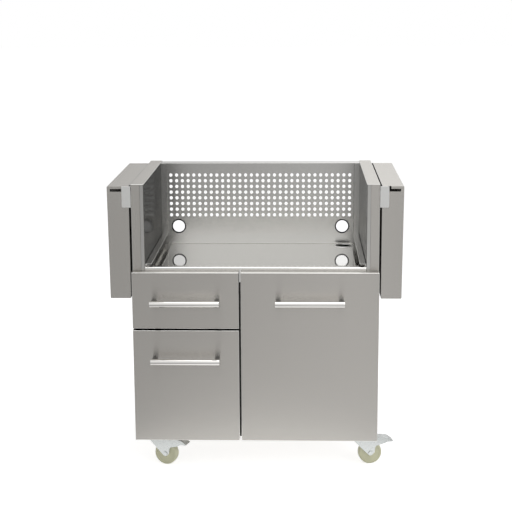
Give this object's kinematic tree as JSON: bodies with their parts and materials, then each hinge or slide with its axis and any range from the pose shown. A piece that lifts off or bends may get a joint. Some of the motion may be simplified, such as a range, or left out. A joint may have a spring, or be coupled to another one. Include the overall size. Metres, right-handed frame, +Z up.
{
  "type": "grill cart with storage",
  "caption": "Stainless grill cart on casters: an open bay with a perforated back for a built-in grill, over drawers and a door, with a fold-up shelf on each side.",
  "frame": {"origin": "on the floor, under the middle of the cart's overall box with both shelves folded down", "axes": "+X to the cart's right as seen from the front, +Y to the rear, +Z up; the drawers and the door face -Y"},
  "size_m": [0.915, 0.6431, 0.9134],
  "materials": {
    "brushed_stainless": "brushed, satin",
    "bright_stainless": "bright rolled",
    "polished_stainless": "polished",
    "zinc_plated_steel": "bright zinc plating",
    "nylon": "moulded nylon, unpainted",
    "black_rubber": "moulded",
    "black_plastic": "moulded"
  },
  "bodies": {
    "cabinet": {"left_side_panel": "brushed_stainless", "right_side_panel": "brushed_stainless", "left_bay_liner": "bright_stainless", "right_bay_liner": "bright_stainless", "bottom_pan": "brushed_stainless", "lower_back_panel": "brushed_stainless", "centre_divider": "brushed_stainless", "bay_floor": "bright_stainless", "perforated_back_panel": "bright_stainless", "back_top_cap": "bright_stainless", "hole_grommets": "black_rubber", "hose_bushing": "bright_stainless", "grill_support_rails": "bright_stainless", "slide_mount_rails": "zinc_plated_steel", "slide_outer_members": "zinc_plated_steel", "door_hinge_brackets": "zinc_plated_steel", "door_catch": "black_plastic", "right_shelf_bracket": "bright_stainless", "left_shelf_bracket": "bright_stainless", "shelf_pivot_studs": "polished_stainless", "caster_plates": "zinc_plated_steel"},
    "upper_drawer": {"upper_drawer_front": "brushed_stainless", "upper_drawer_backing": "brushed_stainless", "upper_drawer_box": "bright_stainless", "upper_drawer_handle_bar": "polished_stainless", "upper_drawer_handle_posts": "polished_stainless", "upper_drawer_slide_inners": "zinc_plated_steel"},
    "upper_drawer_slide": {"upper_drawer_slide_mids": "zinc_plated_steel"},
    "lower_drawer": {"lower_drawer_front": "brushed_stainless", "lower_drawer_backing": "brushed_stainless", "lower_drawer_box": "bright_stainless", "lower_drawer_handle_bar": "polished_stainless", "lower_drawer_handle_posts": "polished_stainless", "lower_drawer_slide_inners": "zinc_plated_steel"},
    "lower_drawer_slide": {"lower_drawer_slide_mids": "zinc_plated_steel"},
    "door": {"door_skin": "brushed_stainless", "door_liner": "brushed_stainless", "door_handle_bar": "polished_stainless", "door_handle_posts": "polished_stainless", "door_hinge_leaves": "zinc_plated_steel"},
    "left_shelf": {"left_shelf_pan": "brushed_stainless", "left_shelf_stiffeners": "brushed_stainless"},
    "right_shelf": {"right_shelf_pan": "brushed_stainless", "right_shelf_stiffeners": "brushed_stainless"},
    "front_left_caster": {"front_left_caster_fork": "zinc_plated_steel", "front_left_caster_axle": "zinc_plated_steel"},
    "front_left_wheel": {"front_left_caster_wheel": "nylon"},
    "front_left_pedal": {"front_left_brake_pedal": "zinc_plated_steel"},
    "front_right_caster": {"front_right_caster_fork": "zinc_plated_steel", "front_right_caster_axle": "zinc_plated_steel"},
    "front_right_wheel": {"front_right_caster_wheel": "nylon"},
    "front_right_pedal": {"front_right_brake_pedal": "zinc_plated_steel"},
    "rear_left_caster": {"rear_left_caster_fork": "zinc_plated_steel", "rear_left_caster_axle": "zinc_plated_steel"},
    "rear_left_wheel": {"rear_left_caster_wheel": "nylon"},
    "rear_right_caster": {"rear_right_caster_fork": "zinc_plated_steel", "rear_right_caster_axle": "zinc_plated_steel"},
    "rear_right_wheel": {"rear_right_caster_wheel": "nylon"}
  },
  "joints": [
    {"name": "upper_drawer_pull", "type": "slide", "parent": "cabinet", "child": "upper_drawer", "axis": [0, -1, 0], "range_m": [0, 0.45]},
    {"name": "upper_drawer_slide_travel", "type": "slide", "parent": "cabinet", "child": "upper_drawer_slide", "axis": [0, -1, 0], "range_m": [0, 0.225]},
    {"name": "lower_drawer_pull", "type": "slide", "parent": "cabinet", "child": "lower_drawer", "axis": [0, -1, 0], "range_m": [0, 0.45]},
    {"name": "lower_drawer_slide_travel", "type": "slide", "parent": "cabinet", "child": "lower_drawer_slide", "axis": [0, -1, 0], "range_m": [0, 0.225]},
    {"name": "door_hinge", "type": "hinge", "parent": "cabinet", "child": "door", "pos_m": [0.375, -0.25775, 0.369], "axis": [0, 0, 1], "range_deg": [0, 100]},
    {"name": "left_shelf_fold", "type": "hinge", "parent": "cabinet", "child": "left_shelf", "pos_m": [-0.406, 0.02875, 0.8955], "axis": [0, 1, 0], "range_deg": [0, 90]},
    {"name": "right_shelf_fold", "type": "hinge", "parent": "cabinet", "child": "right_shelf", "pos_m": [0.406, 0.02875, 0.8955], "axis": [0, -1, 0], "range_deg": [0, 90]},
    {"name": "front_left_swivel", "type": "hinge", "parent": "cabinet", "child": "front_left_caster", "pos_m": [-0.326, -0.20375, 0.09], "axis": [0, 0, 1], "continuous": true},
    {"name": "front_left_roll", "type": "hinge", "parent": "front_left_caster", "child": "front_left_wheel", "pos_m": [-0.28986, -0.21549, 0.0375], "axis": [0.309, 0.9511, 0], "continuous": true},
    {"name": "front_left_brake", "type": "hinge", "parent": "front_left_caster", "child": "front_left_pedal", "pos_m": [-0.25372, -0.22724, 0.074], "axis": [0.309, 0.9511, 0], "range_deg": [0, 10]},
    {"name": "front_right_swivel", "type": "hinge", "parent": "cabinet", "child": "front_right_caster", "pos_m": [0.326, -0.20375, 0.09], "axis": [0, 0, 1], "continuous": true},
    {"name": "front_right_roll", "type": "hinge", "parent": "front_right_caster", "child": "front_right_wheel", "pos_m": [0.36342, -0.19715, 0.0375], "axis": [-0.1736, 0.9848, 0], "continuous": true},
    {"name": "front_right_brake", "type": "hinge", "parent": "front_right_caster", "child": "front_right_pedal", "pos_m": [0.40085, -0.19055, 0.074], "axis": [-0.1736, 0.9848, 0], "range_deg": [0, 10]},
    {"name": "rear_left_swivel", "type": "hinge", "parent": "cabinet", "child": "rear_left_caster", "pos_m": [-0.326, 0.28625, 0.09], "axis": [0, 0, 1], "continuous": true},
    {"name": "rear_left_roll", "type": "hinge", "parent": "rear_left_caster", "child": "rear_left_wheel", "pos_m": [-0.28913, 0.29544, 0.0375], "axis": [-0.2419, 0.9703, 0], "continuous": true},
    {"name": "rear_right_swivel", "type": "hinge", "parent": "cabinet", "child": "rear_right_caster", "pos_m": [0.326, 0.28625, 0.09], "axis": [0, 0, 1], "continuous": true},
    {"name": "rear_right_roll", "type": "hinge", "parent": "rear_right_caster", "child": "rear_right_wheel", "pos_m": [0.36363, 0.28096, 0.0375], "axis": [0.1392, 0.9903, 0], "continuous": true}
  ],
  "couplings": [
    {"joint": "upper_drawer_slide_travel", "follows": "upper_drawer_pull", "ratio": 0.5},
    {"joint": "lower_drawer_slide_travel", "follows": "lower_drawer_pull", "ratio": 0.5}
  ]
}
